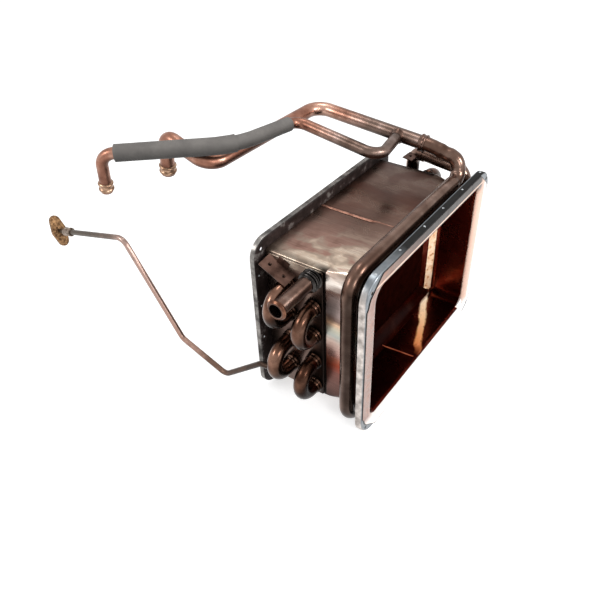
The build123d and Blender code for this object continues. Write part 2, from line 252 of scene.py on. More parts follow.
def new_material(name, **constants):
    """Material with its shader's constants set, and a point's place on the object in millimetres."""
    material = bpy.data.materials.new(name)
    material.use_nodes = True
    tree = material.node_tree
    tree.nodes.clear()
    shader = add(tree, "BsdfPrincipled", constants)
    add(tree, "OutputMaterial", {"Surface": shader})
    coordinates = add(tree, "TexCoord").outputs
    place = add(tree, "VectorMath", {0: coordinates["Object"], 1: (1000, 1000, 1000)}, operation="MULTIPLY")
    return material, tree, shader, place, coordinates["Normal"]


def gloss_and_relief(tree, shader, clouds, dull, bright, grain=None, size_mm=5, strength=0.3, depth=0.5,
                     detail=3.0):
    """Roughness that follows the clouds from dull to bright, and bumps of a size and depth in mm."""
    add(tree, "MapRange", {"Value": clouds, "From Min": 0.3, "From Max": 0.7, "To Min": dull,
                           "To Max": bright}, to=shader.inputs["Roughness"])
    if grain:
        relief = add(tree, "TexNoise", {"Vector": grain, "Scale": 1 / size_mm, "Detail": detail})
        add(tree, "Bump", {"Height": relief, "Strength": strength, "Distance": depth * MM},
            to=shader.inputs["Normal"])


def seen_white(tree):
    """1 for a ray from the camera, from a mirror or through glass."""
    path = add(tree, "LightPath").outputs
    seen = add(tree, "Math", {0: path["Is Camera Ray"], 1: path["Is Glossy Ray"]}, operation="ADD")
    return add(tree, "Math", {0: seen, 1: path["Is Transmission Ray"]}, operation="ADD", use_clamp=True)


def sheet_copper_heat_tinted():
    """Rolled copper sheet, folded and heated for years: a brown and mauve oxide skin. Pale straw and
    grey temper clouds run in arcs near the front left corner and in bands down the chamber's side; the
    bands carry painted reflection in temper tints, with a painted highlight near the top. Painted shade
    lies by the exhaust flange, on the tube plates, under the coil, by the step into the chamber and along the
    lap."""
    material, tree, shader, place, _ = new_material("sheet_copper_heat_tinted", Metallic=1.0)
    at = add(tree, "SeparateXYZ", {0: place}).outputs
    # Temper clouds are drawn out along the sheet by a slow warp, 40 mm across
    warp = add(tree, "TexNoise", {"Vector": place, "Scale": 1 / 40, "Detail": 3.0, "Roughness": 0.5})
    warp = add(tree, "VectorMath", {0: warp.outputs["Color"], 1: (70, 46, 46)}, operation="MULTIPLY")
    bent = add(tree, "VectorMath", {0: place, 1: warp})
    drawn = add(tree, "VectorMath", {0: bent, 1: (0.5, 0.9, 1.0)}, operation="MULTIPLY")
    clouds = add(tree, "TexNoise", {"Vector": drawn, "Scale": 1 / 22, "Detail": 3.0, "Roughness": 0.45})
    # From the dark far side (y 110 mm) to the pale near side (y -114 mm); the warp adds about 23 mm
    warped = add(tree, "SeparateXYZ", {0: bent}).outputs
    across = add(tree, "MapRange", {"Value": warped["Y"], "From Min": 133.0, "From Max": -91.0})
    skin = add(tree, "ValToRGB", {"Fac": across}, stops=[
        (0.05, "#4e352c"), (0.35, "#664539"), (0.55, "#73574c"), (0.78, "#8c7065"), (0.95, "#96796e")])
    temper = add(tree, "ValToRGB", {"Fac": clouds}, stops=[
        (0.32, "#7a574b"), (0.43, "#a07c6e"), (0.50, "#ae9d8c"), (0.57, "#d9c4ae"), (0.64, "#ecdcc8"),
        (0.73, "#c79f8f")])
    # The clouds are strong near the front left corner of the top, and faint elsewhere
    amount = add(tree, "MapRange", {"Value": at["Y"], "From Min": -34.0, "From Max": -92.0, "To Max": 0.85})
    for axis, start, end, least in (("X", -128.0, -76.0, 0.5), ("Z", 66.0, 80.0, 0.0)):
        part = add(tree, "MapRange", {"Value": at[axis], "From Min": start, "From Max": end, "To Min": least})
        amount = add(tree, "Math", {0: amount, 1: part}, operation="MULTIPLY")
    amount = add(tree, "Math", {0: amount, 1: 0.07}, operation="MAXIMUM")
    sheet = add(tree, "Mix", {0: amount, 6: skin, 7: temper}, data_type="RGBA")
    # Painted reflection in bands down both sides of the chamber, by height, in temper tints and with wavy
    # edges; the pale band near the top is a painted highlight
    wavy = add(tree, "Math", {0: clouds, 1: 16.0, 2: -8.0}, operation="MULTIPLY_ADD")
    height = add(tree, "Math", {0: at["Z"], 1: wavy})
    level = add(tree, "MapRange", {"Value": height, "From Min": -CASE_Z, "From Max": CASE_Z})
    bands = add(tree, "ValToRGB", {"Fac": level}, stops=[
        (0.02, "#46332f"), (0.14, "#6b4d46"), (0.25, "#7d5148"), (0.31, "#9a452f"), (0.36, "#b06a54"),
        (0.42, "#bd9288"), (0.49, "#cdb3a6"), (0.55, "#a7aaa3"), (0.60, "#b9b3a0"), (0.64, "#d6b394"),
        (0.67, "#7f665d"), (0.72, "#a89590"), (0.84, "#a3908a"), (0.885, "#755a50"), (0.93, "#f6ece2"),
        (0.985, "#c9b3a5")])
    side = add(tree, "Math", {0: at["Y"]}, operation="ABSOLUTE")
    side = add(tree, "MapRange", {"Value": side, "From Min": 104.0, "From Max": 112.0})
    chamber = add(tree, "MapRange", {"Value": at["X"], "From Min": -57.0, "From Max": -54.5})
    banded = add(tree, "Math", {0: side, 1: chamber}, operation="MULTIPLY")
    sheet = add(tree, "Mix", {0: banded, 6: sheet, 7: bands}, data_type="RGBA")
    # Painted shade by the exhaust flange, on the tube plates, under the coil, and by the step from the core
    # into the chamber
    flange = add(tree, "MapRange", {"Value": warped["X"], "From Min": -99.0, "From Max": -81.0,
                                    "To Min": 0.75})
    plates = add(tree, "Math", {0: side, 1: 0.45}, operation="MULTIPLY")
    plates = add(tree, "Math", {0: plates, 1: banded}, operation="MAXIMUM")
    plates = add(tree, "MapRange", {"Value": side, "To Min": 1.0, "To Max": plates})
    # Painted shadow of the coil: darker from x -33 mm forward to the mouth
    coil = add(tree, "MapRange", {"Value": at["X"], "From Min": -39.0, "From Max": -33.0, "To Min": 1.0,
                                  "To Max": 0.45})
    core_side = add(tree, "Math", {0: at["X"], 1: -55.2}, operation="LESS_THAN")
    core_side = add(tree, "Math", {0: core_side, 1: side}, operation="MULTIPLY")
    joint = add(tree, "MapRange", {"Value": at["X"], "From Min": -70.0, "From Max": -59.5, "To Max": 0.88})
    joint = add(tree, "Math", {0: joint, 1: core_side}, operation="MULTIPLY")
    joint = add(tree, "Math", {0: joint, 1: -1.0, 2: 1.0}, operation="MULTIPLY_ADD")
    # Painted shade in a line on each side of the lap's edge, over the core
    lap = add(tree, "Math", {0: at["Y"], 1: -15.0, 2: 3.4}, operation="COMPARE")
    over = add(tree, "MapRange", {"Value": at["X"], "From Min": -58.0, "From Max": -62.0})
    lap = add(tree, "Math", {0: lap, 1: over}, operation="MULTIPLY")
    lap = add(tree, "Math", {0: lap, 1: -0.45, 2: 1.0}, operation="MULTIPLY_ADD")
    # Rolling streaks along the gas axis, 1.5 mm apart: coarser than real ones, so that they show
    along = add(tree, "VectorMath", {0: place, 1: (0.03, 0.66, 0.66)}, operation="MULTIPLY")
    streaks = add(tree, "TexNoise", {"Vector": along, "Scale": 1.0, "Detail": 3.0})
    streaks = add(tree, "MapRange", {"Value": streaks, "From Min": 0.3, "From Max": 0.7, "To Min": 0.86,
                                     "To Max": 1.08})
    shade = flange
    for part in (plates, coil, joint, lap, streaks):
        shade = add(tree, "Math", {0: shade, 1: part}, operation="MULTIPLY")
    add(tree, "Mix", {0: 1.0, 6: sheet, 7: shade}, to=shader.inputs["Base Color"], data_type="RGBA",
        blend_type="MULTIPLY")
    gloss_and_relief(tree, shader, clouds, 0.38, 0.24, drawn, 24, 0.12, 1.0, 2.0)
    return material


def sheet_copper_fired():
    """Inside of the chamber: copper sheet fired to a glossy dark red, clouded brighter on the walls, with
    painted shade on the floor and deep in by the fins. A painted reflection of a bright strip, straw to
    orange, crosses its bottom."""
    material, tree, shader, place, normal = new_material("sheet_copper_fired")
    at = add(tree, "SeparateXYZ", {0: place}).outputs
    facing = add(tree, "SeparateXYZ", {0: normal}).outputs
    cloud = add(tree, "TexNoise", {"Vector": place, "Scale": 1 / 34, "Detail": 5.0, "Roughness": 0.6})
    base = add(tree, "ValToRGB", {"Fac": cloud}, stops=[
        (0.36, "#641d13"), (0.5, "#872f20"), (0.62, "#a84d3a"), (0.74, "#c07058")])
    # Painted shade: faces that turn up, on the floor, and the part deep in by the fins are darker
    low = add(tree, "MapRange", {"Value": facing["Z"], "From Min": 0.1, "From Max": 0.5, "To Min": 1.0,
                                 "To Max": 0.26})
    deep = add(tree, "MapRange", {"Value": at["X"], "From Min": -45.0, "From Max": -38.0, "To Min": 0.2})
    painted_shade_level = add(tree, "Math", {0: low, 1: deep}, operation="MULTIPLY")
    darkened = add(tree, "Mix", {0: 1.0, 6: base, 7: painted_shade_level}, data_type="RGBA", blend_type="MULTIPLY")
    # Painted reflection of a bright strip on the bottom, straw to orange and less metallic: its middle runs
    # from x -54, y 121 to x -7, y 2 mm and wavers by 2 mm each way. It is about 8 mm wide
    waver = add(tree, "Math", {0: cloud, 1: 34.0, 2: -1.5}, operation="MULTIPLY_ADD")
    off = add(tree, "Math", {0: at["X"], 1: 2.534, 2: waver}, operation="MULTIPLY_ADD")
    off = add(tree, "Math", {0: off, 1: at["Y"]})
    off = add(tree, "Math", {0: off}, operation="ABSOLUTE")
    painted_reflection = add(tree, "MapRange", {"Value": off, "From Min": 13.5, "From Max": 7.5})
    for value, start, end in ((at["Y"], -4.0, 14.0), (facing["Z"], 0.85, 0.95)):
        part = add(tree, "MapRange", {"Value": value, "From Min": start, "From Max": end})
        painted_reflection = add(tree, "Math", {0: painted_reflection, 1: part}, operation="MULTIPLY")
    glow = add(tree, "MapRange", {"Value": at["Y"], "From Min": 0.0, "From Max": 112.0})
    tones = add(tree, "ValToRGB", {"Fac": glow}, stops=[
        (0.0, "#d0703c"), (0.25, "#f0a468"), (0.5, "#ffd2a0"), (0.9, "#fff1d6")])
    add(tree, "Mix", {0: painted_reflection, 6: darkened, 7: tones}, to=shader.inputs["Base Color"], data_type="RGBA")
    add(tree, "MapRange", {"Value": painted_reflection, "To Min": 1.0, "To Max": 0.1}, to=shader.inputs["Metallic"])
    gloss_and_relief(tree, shader, cloud, 0.34, 0.22, place, 16, 0.3, 0.8)
    return material


def cove_copper_painted_highlight():
    """Cove in front of the fins: pale straw copper with a few pits, less metallic, as a painted highlight."""
    material, tree, shader, place, _ = new_material("cove_copper_painted_highlight", Metallic=0.3)
    cloud = add(tree, "TexNoise", {"Vector": place, "Scale": 1 / 5, "Detail": 4.0, "Roughness": 0.65})
    add(tree, "ValToRGB", {"Fac": cloud}, to=shader.inputs["Base Color"],
        stops=[(0.32, "#b57848"), (0.44, "#f0c69c"), (0.62, "#fbe2c4")])
    gloss_and_relief(tree, shader, cloud, 0.5, 0.3)
    return material


def lip_copper_worn_painted_light():
    """Flared lip of the casing: mauve copper with worn tints, brown along the top. Low down and on the
    far side it is pale with painted reflection, and a painted highlight runs along the crest of the bend."""
    material, tree, shader, place, _ = new_material("lip_copper_worn_painted_light", Metallic=1.0)
    at = add(tree, "SeparateXYZ", {0: place}).outputs
    cloud = add(tree, "TexNoise", {"Vector": place, "Scale": 1 / 16, "Detail": 5.0, "Roughness": 0.6})
    # Across the lip: pinkish on the near side, dark in the middle, and pale with painted reflection on the far
    # side's flare and lip
    across = add(tree, "MapRange", {"Value": at["Y"], "From Min": -133.0, "From Max": 133.0})
    base = add(tree, "ValToRGB", {"Fac": across}, stops=[
        (0.0, "#a0827a"), (0.07, "#8f7066"), (0.12, "#74503f"), (0.3, "#4a3026"), (0.45, "#1d1310"),
        (0.905, "#1a1210"), (0.93, "#cfae9e"), (0.948, "#dcc3b6"), (0.958, "#fff8f2")])
    # A cream painted highlight along the crest of the bend, and a white painted reflection on the lip low down
    bend_highlight = add(tree, "Math", {0: at["Z"], 1: 88.8, 2: 0.9}, operation="COMPARE")
    low = add(tree, "MapRange", {"Value": at["Z"], "From Min": -74.0, "From Max": -84.0})
    for share, tone in ((bend_highlight, "#e0c0aa"), (low, "#fffbf7")):
        base = add(tree, "Mix", {0: share, 6: base, 7: tone}, data_type="RGBA")
    tints = add(tree, "ValToRGB", {"Fac": cloud}, stops=[
        (0.34, "#654940"), (0.45, "#a98c80"), (0.52, "#9d9c96"), (0.60, "#b98974"), (0.7, "#74554b")])
    worn = add(tree, "MapRange", {"Value": at["Y"], "From Min": -112.0, "From Max": -30.0, "To Min": 0.3,
                                  "To Max": 0.03})
    add(tree, "Mix", {0: worn, 6: base, 7: tints}, to=shader.inputs["Base Color"], data_type="RGBA")
    gloss_and_relief(tree, shader, cloud, 0.34, 0.22, place, 5, 0.25, 0.5)
    return material


def tube_copper(name, tones, size_mm, roughness, painted_shade_level, lit_toward=(0.0, 0.0, 1.0), start=-0.5, end=0.25,
                collar=False, far_tones=None, shade_eased_above=None):
    """Drawn copper tube: satin, with slow clouds of oxide in three tones. Painted shade darkens the side
    that turns from the given light direction, a collar darkens the ends at the tube plates, where flux
    burned, far_tones are for the cleaner part of a pipe that runs out behind the case, and the painted
    shade eases from a given height up."""
    material, tree, shader, place, normal = new_material(name, Metallic=1.0)
    at = add(tree, "SeparateXYZ", {0: place}).outputs
    cloud = add(tree, "TexNoise", {"Vector": place, "Scale": 1 / size_mm, "Detail": 4.0, "Roughness": 0.55})
    spread = (0.36, 0.52, 0.66)
    base = add(tree, "ValToRGB", {"Fac": cloud}, stops=list(zip(spread, tones)))
    if far_tones:
        far = add(tree, "ValToRGB", {"Fac": cloud}, stops=list(zip(spread, far_tones)))
        gone = add(tree, "MapRange", {"Value": at["X"], "From Min": -135.0, "From Max": -185.0})
        base = add(tree, "Mix", {0: gone, 6: base, 7: far}, data_type="RGBA")
    # Painted shade on the side turned away from the given light direction
    turned_to = add(tree, "VectorMath", {0: normal, 1: lit_toward}, operation="DOT_PRODUCT")
    shade = add(tree, "MapRange", {"Value": turned_to.outputs["Value"], "From Min": start, "From Max": end,
                                   "To Min": painted_shade_level}, interpolation_type="SMOOTHSTEP")
    if shade_eased_above:
        high = add(tree, "MapRange", {"Value": at["Z"], "From Min": shade_eased_above,
                                      "From Max": shade_eased_above + 8.0, "To Max": 0.72})
        shade = add(tree, "Math", {0: shade, 1: high}, operation="MAXIMUM")
    if collar:
        out = add(tree, "Math", {0: at["Y"]}, operation="ABSOLUTE")
        burned = add(tree, "MapRange", {"Value": out, "From Min": 121.5, "From Max": 125.0, "To Min": 0.38})
        shade = add(tree, "Math", {0: shade, 1: burned}, operation="MULTIPLY")
    add(tree, "Mix", {0: 1.0, 6: base, 7: shade}, to=shader.inputs["Base Color"], data_type="RGBA",
        blend_type="MULTIPLY")
    gloss_and_relief(tree, shader, cloud, roughness + 0.08, roughness - 0.04, place, 4, 0.08, 0.5)
    return material


def metal_surface(name, low, high, roughness, size_mm, bump=0.08, metallic=1.0):
    """Metal clouded between two tones at a given size, duller where it is darker."""
    material, tree, shader, place, _ = new_material(name, Metallic=metallic)
    cloud = add(tree, "TexNoise", {"Vector": place, "Scale": 1 / size_mm, "Detail": 5.0, "Roughness": 0.6})
    add(tree, "ValToRGB", {"Fac": cloud}, to=shader.inputs["Base Color"], stops=[(0.34, low), (0.66, high)])
    gloss_and_relief(tree, shader, cloud, roughness + 0.1, roughness, place, size_mm / 4, bump, 0.6, 4.0)
    return material


def steel_with_gasket_traces(name, tones, burned_face):
    """Pressed zinc-coated steel: grey and satin. Where a gasket burned on, it is matt black with torn
    grey shreds: the face of the exhaust flange, or the top of the burner flange's rim."""
    material, tree, shader, place, normal = new_material(name)
    at = add(tree, "SeparateXYZ", {0: place}).outputs
    facing = add(tree, "SeparateXYZ", {0: normal}).outputs
    mottle = add(tree, "TexNoise", {"Vector": place, "Scale": 1 / 9, "Detail": 5.0, "Roughness": 0.6})
    zinc = add(tree, "ValToRGB", {"Fac": mottle}, stops=list(zip((0.36, 0.64), tones)))
    shreds = add(tree, "TexNoise", {"Vector": place, "Scale": 1 / 12, "Detail": 5.0, "Roughness": 0.65})
    if burned_face:
        mask = add(tree, "MapRange", {"Value": facing["X"], "From Min": 0.45, "From Max": 0.6})
        black = add(tree, "ValToRGB", {"Fac": shreds}, stops=[
            (0.44, "#1c1412"), (0.58, "#2f2523"), (0.62, "#58524f"), (0.78, "#77726e")])
    else:
        mask = add(tree, "MapRange", {"Value": facing["Z"], "From Min": 0.3, "From Max": 0.5})
        middle = add(tree, "Math", {0: at["X"], 1: -3.4, 2: 3.2}, operation="COMPARE")
        far = add(tree, "MapRange", {"Value": at["Y"], "From Min": -96.0, "From Max": -60.0})
        for part in (middle, far):
            mask = add(tree, "Math", {0: mask, 1: part}, operation="MULTIPLY")
        black = add(tree, "ValToRGB", {"Fac": shreds}, stops=[(0.4, "#060605"), (0.8, "#141211")])
        # Painted shade: faces that turn to the front and up are a darker blue-grey
        turned_up = add(tree, "Math", {0: facing["X"], 1: facing["Z"]})
        front = add(tree, "MapRange", {"Value": turned_up, "From Min": 0.3, "From Max": 0.8, "To Max": 0.85})
        zinc = add(tree, "Mix", {0: front, 6: zinc, 7: "#6b747b"}, data_type="RGBA")
    add(tree, "Mix", {0: mask, 6: zinc, 7: black}, to=shader.inputs["Base Color"], data_type="RGBA")
    for socket, clean, burned in (("Metallic", 1.0, 0.1), ("Specular IOR Level", 0.5, 0.2),
                                  ("Roughness", 0.34, 0.6)):
        add(tree, "MapRange", {"Value": mask, "To Min": clean, "To Max": burned}, to=shader.inputs[socket])
    add(tree, "Bump", {"Height": shreds, "Strength": 0.35, "Distance": 0.5 * MM}, to=shader.inputs["Normal"])
    return material


def drain_tube_tinned():
    """Thin drawn tube: dull tinned grey at its far end, worn to pink copper down the slope, black
    by the core, with painted shade underneath."""
    material, tree, shader, place, normal = new_material("drain_tube_tinned", Metallic=1.0)
    at = add(tree, "SeparateXYZ", {0: place}).outputs
    facing = add(tree, "SeparateXYZ", {0: normal}).outputs
    patch = add(tree, "TexNoise", {"Vector": place, "Scale": 1 / 11, "Detail": 4.0, "Roughness": 0.6})
    shift = add(tree, "Math", {0: patch, 1: 90.0, 2: -45.0}, operation="MULTIPLY_ADD")
    length = add(tree, "Math", {0: at["X"], 1: shift})
    length = add(tree, "MapRange", {"Value": length, "From Min": -430.0, "From Max": -100.0})
    base = add(tree, "ValToRGB", {"Fac": length}, stops=[
        (0.0, "#6d655b"), (0.20, "#5d554e"), (0.34, "#77675e"), (0.42, "#ab9187"), (0.60, "#a58578"),
        (0.72, "#6f574b"), (0.92, "#3f322b")])
    # Painted shade: darker where the tube faces down
    underside_shade = add(tree, "MapRange", {"Value": facing["Z"], "From Min": -0.6, "From Max": 0.2, "To Min": 0.5})
    add(tree, "Mix", {0: 1.0, 6: base, 7: underside_shade}, to=shader.inputs["Base Color"], data_type="RGBA",
        blend_type="MULTIPLY")
    gloss_and_relief(tree, shader, patch, 0.42, 0.3)
    return material


def foam_closed_cell():
    """Extruded closed-cell foam: matt grey with a fine skin, with painted shade underneath."""
    material, tree, shader, place, normal = new_material("foam_closed_cell", Roughness=0.7)
    facing = add(tree, "SeparateXYZ", {0: normal}).outputs
    cloud = add(tree, "TexNoise", {"Vector": place, "Scale": 1 / 18, "Detail": 4.0, "Roughness": 0.55})
    base = add(tree, "ValToRGB", {"Fac": cloud}, stops=[(0.35, "#615d5a"), (0.65, "#716d69")])
    # Painted shade: darker where the foam faces down
    underside_shade = add(tree, "MapRange", {"Value": facing["Z"], "From Min": -0.5, "From Max": 0.75, "To Min": 0.3})
    add(tree, "Mix", {0: 1.0, 6: base, 7: underside_shade}, to=shader.inputs["Base Color"], data_type="RGBA",
        blend_type="MULTIPLY")
    # Pores 1.6 mm across, coarser than real ones so that they show, and drawn out along the tube
    drawn = add(tree, "VectorMath", {0: place, 1: (0.12, 0.3, 1.0)}, operation="MULTIPLY")
    pores = add(tree, "TexNoise", {"Vector": drawn, "Scale": 1 / 1.6, "Detail": 3.0})
    add(tree, "Bump", {"Height": pores, "Strength": 0.4, "Distance": 0.6 * MM}, to=shader.inputs["Normal"])
    return material


SHEET_OUTSIDE = sheet_copper_heat_tinted()
SHEET_INSIDE = sheet_copper_fired()
COVE_PAINTED_HIGHLIGHT = cove_copper_painted_highlight()
LIP_COPPER = lip_copper_worn_painted_light()
TUBE_BROWN = tube_copper("tube_copper_bend_browned", ("#40291f", "#684a3c", "#906d5c"), 26, 0.22, 0.2,
                         lit_toward=(-0.3, -0.3, 0.9), start=-0.4, end=0.95, collar=True)
TUBE_COIL = tube_copper("tube_copper_coil_painted_shade", ("#634a3f", "#81685c", "#a3897d"), 40, 0.25, 0.17,
                        lit_toward=(-0.75, 0.0, 0.66), start=-0.25, end=0.6, shade_eased_above=76.0)
TUBE_FEED = tube_copper("tube_copper_feed_handled", ("#4d3d35", "#725f56", "#93807a"), 34, 0.33, 0.42,
                        far_tones=("#724a3c", "#9c6f5d", "#c49c8a"))
TUBE_STUB = tube_copper("tube_copper_stub_tarnished", ("#4a3830", "#6d564c", "#8d776d"), 22, 0.27, 0.35)
# Rolled edge of the lap: copper rubbed bright along its crest, and fired orange in the chamber
BEAD_BRIGHT = metal_surface("seam_copper_rolled", "#6a483d", "#a87d6c", 0.4, 8)
BEAD_FIRED = metal_surface("seam_copper_fired", "#a8452c", "#d97b55", 0.45, 8, metallic=0.5)
STEEL_EXHAUST = steel_with_gasket_traces("steel_pressed_exhaust", ("#504d4b", "#908c88"), True)
STEEL_BURNER = steel_with_gasket_traces("steel_pressed_burner", ("#8a837e", "#d2c9c3"), False)
# Rivet heads: bright plating, small and smooth
STEEL_PLATED = metal_surface("steel_plated_bright", "#8d9194", "#c9cdd0", 0.25, 4)
# Rings of the outlet's collar: plated steel under soot, near black with sharp glints
COLLAR_DARK = metal_surface("steel_collar_sooted", "#1f1d1c", "#4e4a48", 0.2, 6)
# Cut edge of the lip: dark and dull, as painted shade of the gap against the flange
LIP_EDGE_SHADE = metal_surface("lip_edge_painted_shade", "#191614", "#37312d", 0.4, 5)
# Turned pipe ends: pinkish brass with narrow bands of light
BRASS_END = metal_surface("brass_turned", "#755743", "#b89880", 0.28, 4)
# Rolled rim of the outlet: brown copper with a soft shine
RIM_COPPER = metal_surface("rim_copper_rolled", "#4a2e24", "#7a5543", 0.28, 4)
# Bracket and clip: sheet copper tarnished to a dull brown
BRACKET_COPPER = metal_surface("bracket_copper_tarnished", "#35251f", "#6b5147", 0.36, 14)
# Cast flange: rough bronze, gold on its high spots and brown between them
BRONZE_CAST = metal_surface("bronze_cast", "#40291c", "#b08a63", 0.4, 3, bump=0.7)
# Union of the drain: handled brass, dulled to a grey gold
UNION_BRASS = metal_surface("brass_union_dulled", "#5e5148", "#a6978a", 0.34, 4)
# Fins: thin pressed copper, a dull dark red from the fire
FIN_COPPER = metal_surface("fin_copper_pressed", "#4a1a11", "#6e2c1f", 0.5, 14)
DRAIN_TUBE = drain_tube_tinned()
FOAM = foam_closed_cell()


# Casing, from sheet: the outside surface, the flare and lip, and the inside back again. The lip's
# outline is given as (y, z) for one quarter
LIP_OUTLINE = [(0, LIP_Z), (107.5, LIP_Z), (110, 95.5), (116, 90.5), (126, 82.5), (129, 77), (129.5, 71.5),
               (LIP_Y, 70), (LIP_Y, 0)]


def lip_reach(point, normal):
    """Distance from a point along a normal to the lip's outline."""
    y, z, ny, nz = abs(point.y), abs(point.z), abs(normal.y), abs(normal.z)
    reach = 60.0
    for (y0, z0), (y1, z1) in zip(LIP_OUTLINE, LIP_OUTLINE[1:]):
        dy, dz = y1 - y0, z1 - z0
        det = ny * dz - nz * dy
        if abs(det) > 1e-9:
            t = ((y0 - y) * dz - (z0 - z) * dy) / det
            u = ((y0 - y) * nz - (z0 - z) * ny) / det
            if t > 0 and -0.001 <= u <= 1.001:
                reach = min(reach, t)
    return reach


def corner_radius(x):
    """The folded edge of the core opens into the chamber's round edge over 22 mm."""
    t = max(0.0, min(1.0, (x - CORE_X) / 22))
    return CORE_R + (CHAMBER_R - CORE_R) * t * t * (3 - 2 * t)


def dent(point):
    """Gentle waves in hand-worked sheet: 0.5 mm deep and 38 mm apart, with finer ones 15 mm apart."""
    return 0.5 * (noise.noise(point / 38) + 0.4 * noise.noise(point / 15 + Vector((7, 3, 1))))


def casing_half(name, node, side):
    """One folded half of the casing, from the lower seam to the upper one."""
    core_steps, chamber_steps, bend_steps = 19, 14, 7
    xs = [CASE_END_X + (CORE_X - CASE_END_X) * i / core_steps for i in range(core_steps + 1)]
    xs += [CORE_X + (-FLARE_R - CORE_X) * i / chamber_steps for i in range(1, chamber_steps + 1)]

    def half_ring(radius):
        ring = rounded_rectangle(CASE_Y, CASE_Z, radius)
        return ring[:len(ring) // 2 + 1] if side > 0 else ring[len(ring) // 2:] + ring[:1]

    def row(x, offset, radius, wave=1.0):
        made = []
        for point, normal in half_ring(radius):
            at = point + Vector((x, 0, 0))
            # Dents fade out at the flanges and at the seam
            keep = min(1.0, abs(x - CASE_END_X) / 12, abs(x) / 14, abs(point.y) / 8)
            made.append(at + normal * (offset + wave * keep * dent(at)))
        return made

    def lip_row(x, share):
        made = []
        for point, normal in half_ring(CHAMBER_R):
            reach = lip_reach(point, normal)
            made.append(point + normal * (FLARE_R + (reach - FLARE_R) * share) + Vector((x, 0, 0)))
        return made

    rows = [row(x, 0.0, corner_radius(x)) for x in xs]
    for k in range(1, bend_steps + 1):
        a = pi / 2 * k / bend_steps
        rows.append(row(-FLARE_R + FLARE_R * sin(a), FLARE_R - FLARE_R * cos(a), CHAMBER_R, 0.0))
    shares = (0.17, 0.34, 0.5, 0.67, 0.83, 0.92, 1.0)
    rows += [lip_row(0.0, share) for share in shares]
    rows += [lip_row(SHEET, share) for share in reversed(shares)]
    edge_rows = (len(rows) - len(shares) - 1, len(rows) - len(shares))
    inner = FLARE_R + SHEET
    for k in range(bend_steps, 0, -1):
        a = pi / 2 * k / bend_steps
        rows.append(row(-FLARE_R + inner * sin(a), FLARE_R - inner * cos(a), CHAMBER_R, 0.0))
    rows += [row(x, -SHEET, corner_radius(x)) for x in reversed(xs)]
    piece = closed_sheet(name, rows, SHEET_OUTSIDE, [node], around=False)
    for material in (SHEET_INSIDE, LIP_COPPER, LIP_EDGE_SHADE):
        piece.data.materials.append(material)
    inside, lip, edge = 1, 2, 3
    columns = len(rows[0])
    for face in piece.data.polygons:
        c, n = face.center / MM, face.normal
        inward = n.y * c.y + n.z * c.z < 0
        # The lip's colouring, with its painted reflection, reaches further in on the far side
        lip_start = -5.6 if c.y > 100 else -2.2
        if c.x > lip_start and (inward or n.x > 0.3 or c.x > 0):
            # The lip's cut edge takes the painted shade of the gap against the flange
            face.material_index = edge if face.vertices[0] // columns in edge_rows else lip
        elif inward and abs(n.x) < 0.9:
            face.material_index = inside


casing_half("casing_left", "casing_half_left", -1)
casing_half("casing_right", "casing_half_right", 1)


def chamber_cove():
    """Sheet cove that closes the step between the chamber's sides and the fins; its upright sides
    carry a band of painted highlight."""
    profile = [(-41.0, 0.7), (-45.2, 1.7), (-46.6, 3.0), (-48.8, 5.6), (-51.0, 9.0), (-53.6, 11.6),
               (-56.0, 13.2)]
    rows = []
    for x, inset in profile + [(x - 0.1, inset - 0.5) for x, inset in reversed(profile)]:
        ring = rounded_rectangle(CASE_Y - inset, CASE_Z - inset, max(2.0, corner_radius(x) - inset))
        rows.append([p + Vector((x - 0.3 * noise.noise(p / 24), 0, 0)) for p, _ in ring])
    piece = closed_sheet("chamber_cove", rows, SHEET_INSIDE)
    piece.data.materials.append(COVE_PAINTED_HIGHLIGHT)
    for face in piece.data.polygons:
        c, n = face.center / MM, face.normal
        upright = abs(n.y) > abs(n.z) and n.x > 0
        # Faces that carry the painted highlight band
        if upright and -51.0 < c.x < -45.2 and abs(c.z) < 77:
            face.material_index = 1


chamber_cove()


def seam_bead(name, z_side):
    """Rolled edge of the lap: a wide bright bead over the core that narrows over the chamber."""
    # x, y and the bead's radius along the lap
    path = [(-125.5, -15.0, 1.9), (-72, -15.0, 1.9), (-63, -14.4, 2.1), (-58, -12.6, 1.0), (-33, -12.2, 1.0)]
    rows = []
    count = 60
    for i in range(count + 1):
        s = i / count * (len(path) - 1)
        k = min(int(s), len(path) - 2)
        (x0, y0, r0), (x1, y1, r1) = path[k], path[k + 1]
        t = s - k
        x, y, r = x0 + (x1 - x0) * t, y0 + (y1 - y0) * t, r0 + (r1 - r0) * t
        rows.append([Vector((x, y + r * cos(a), z_side * (CASE_Z - 0.5 + r * 0.9 * sin(a))))
                     for a in (pi * j / 8 for j in range(9))])
    capped(name, rows, BEAD_BRIGHT, flip=z_side > 0)


seam_bead("seam_bead_top", 1)
seam_bead("seam_bead_bottom", -1)

# The lap's edge inside the chamber, along its bottom
lap = [Vector((x, y, -82.2)) for x, y in ((-55, -12.4), (-40, -11.2), (-22, -9.6), (-6, -8.4))]
pipe("seam_bead_inside", lap, 0.8, BEAD_FIRED, sides=10)


# Steel flanges

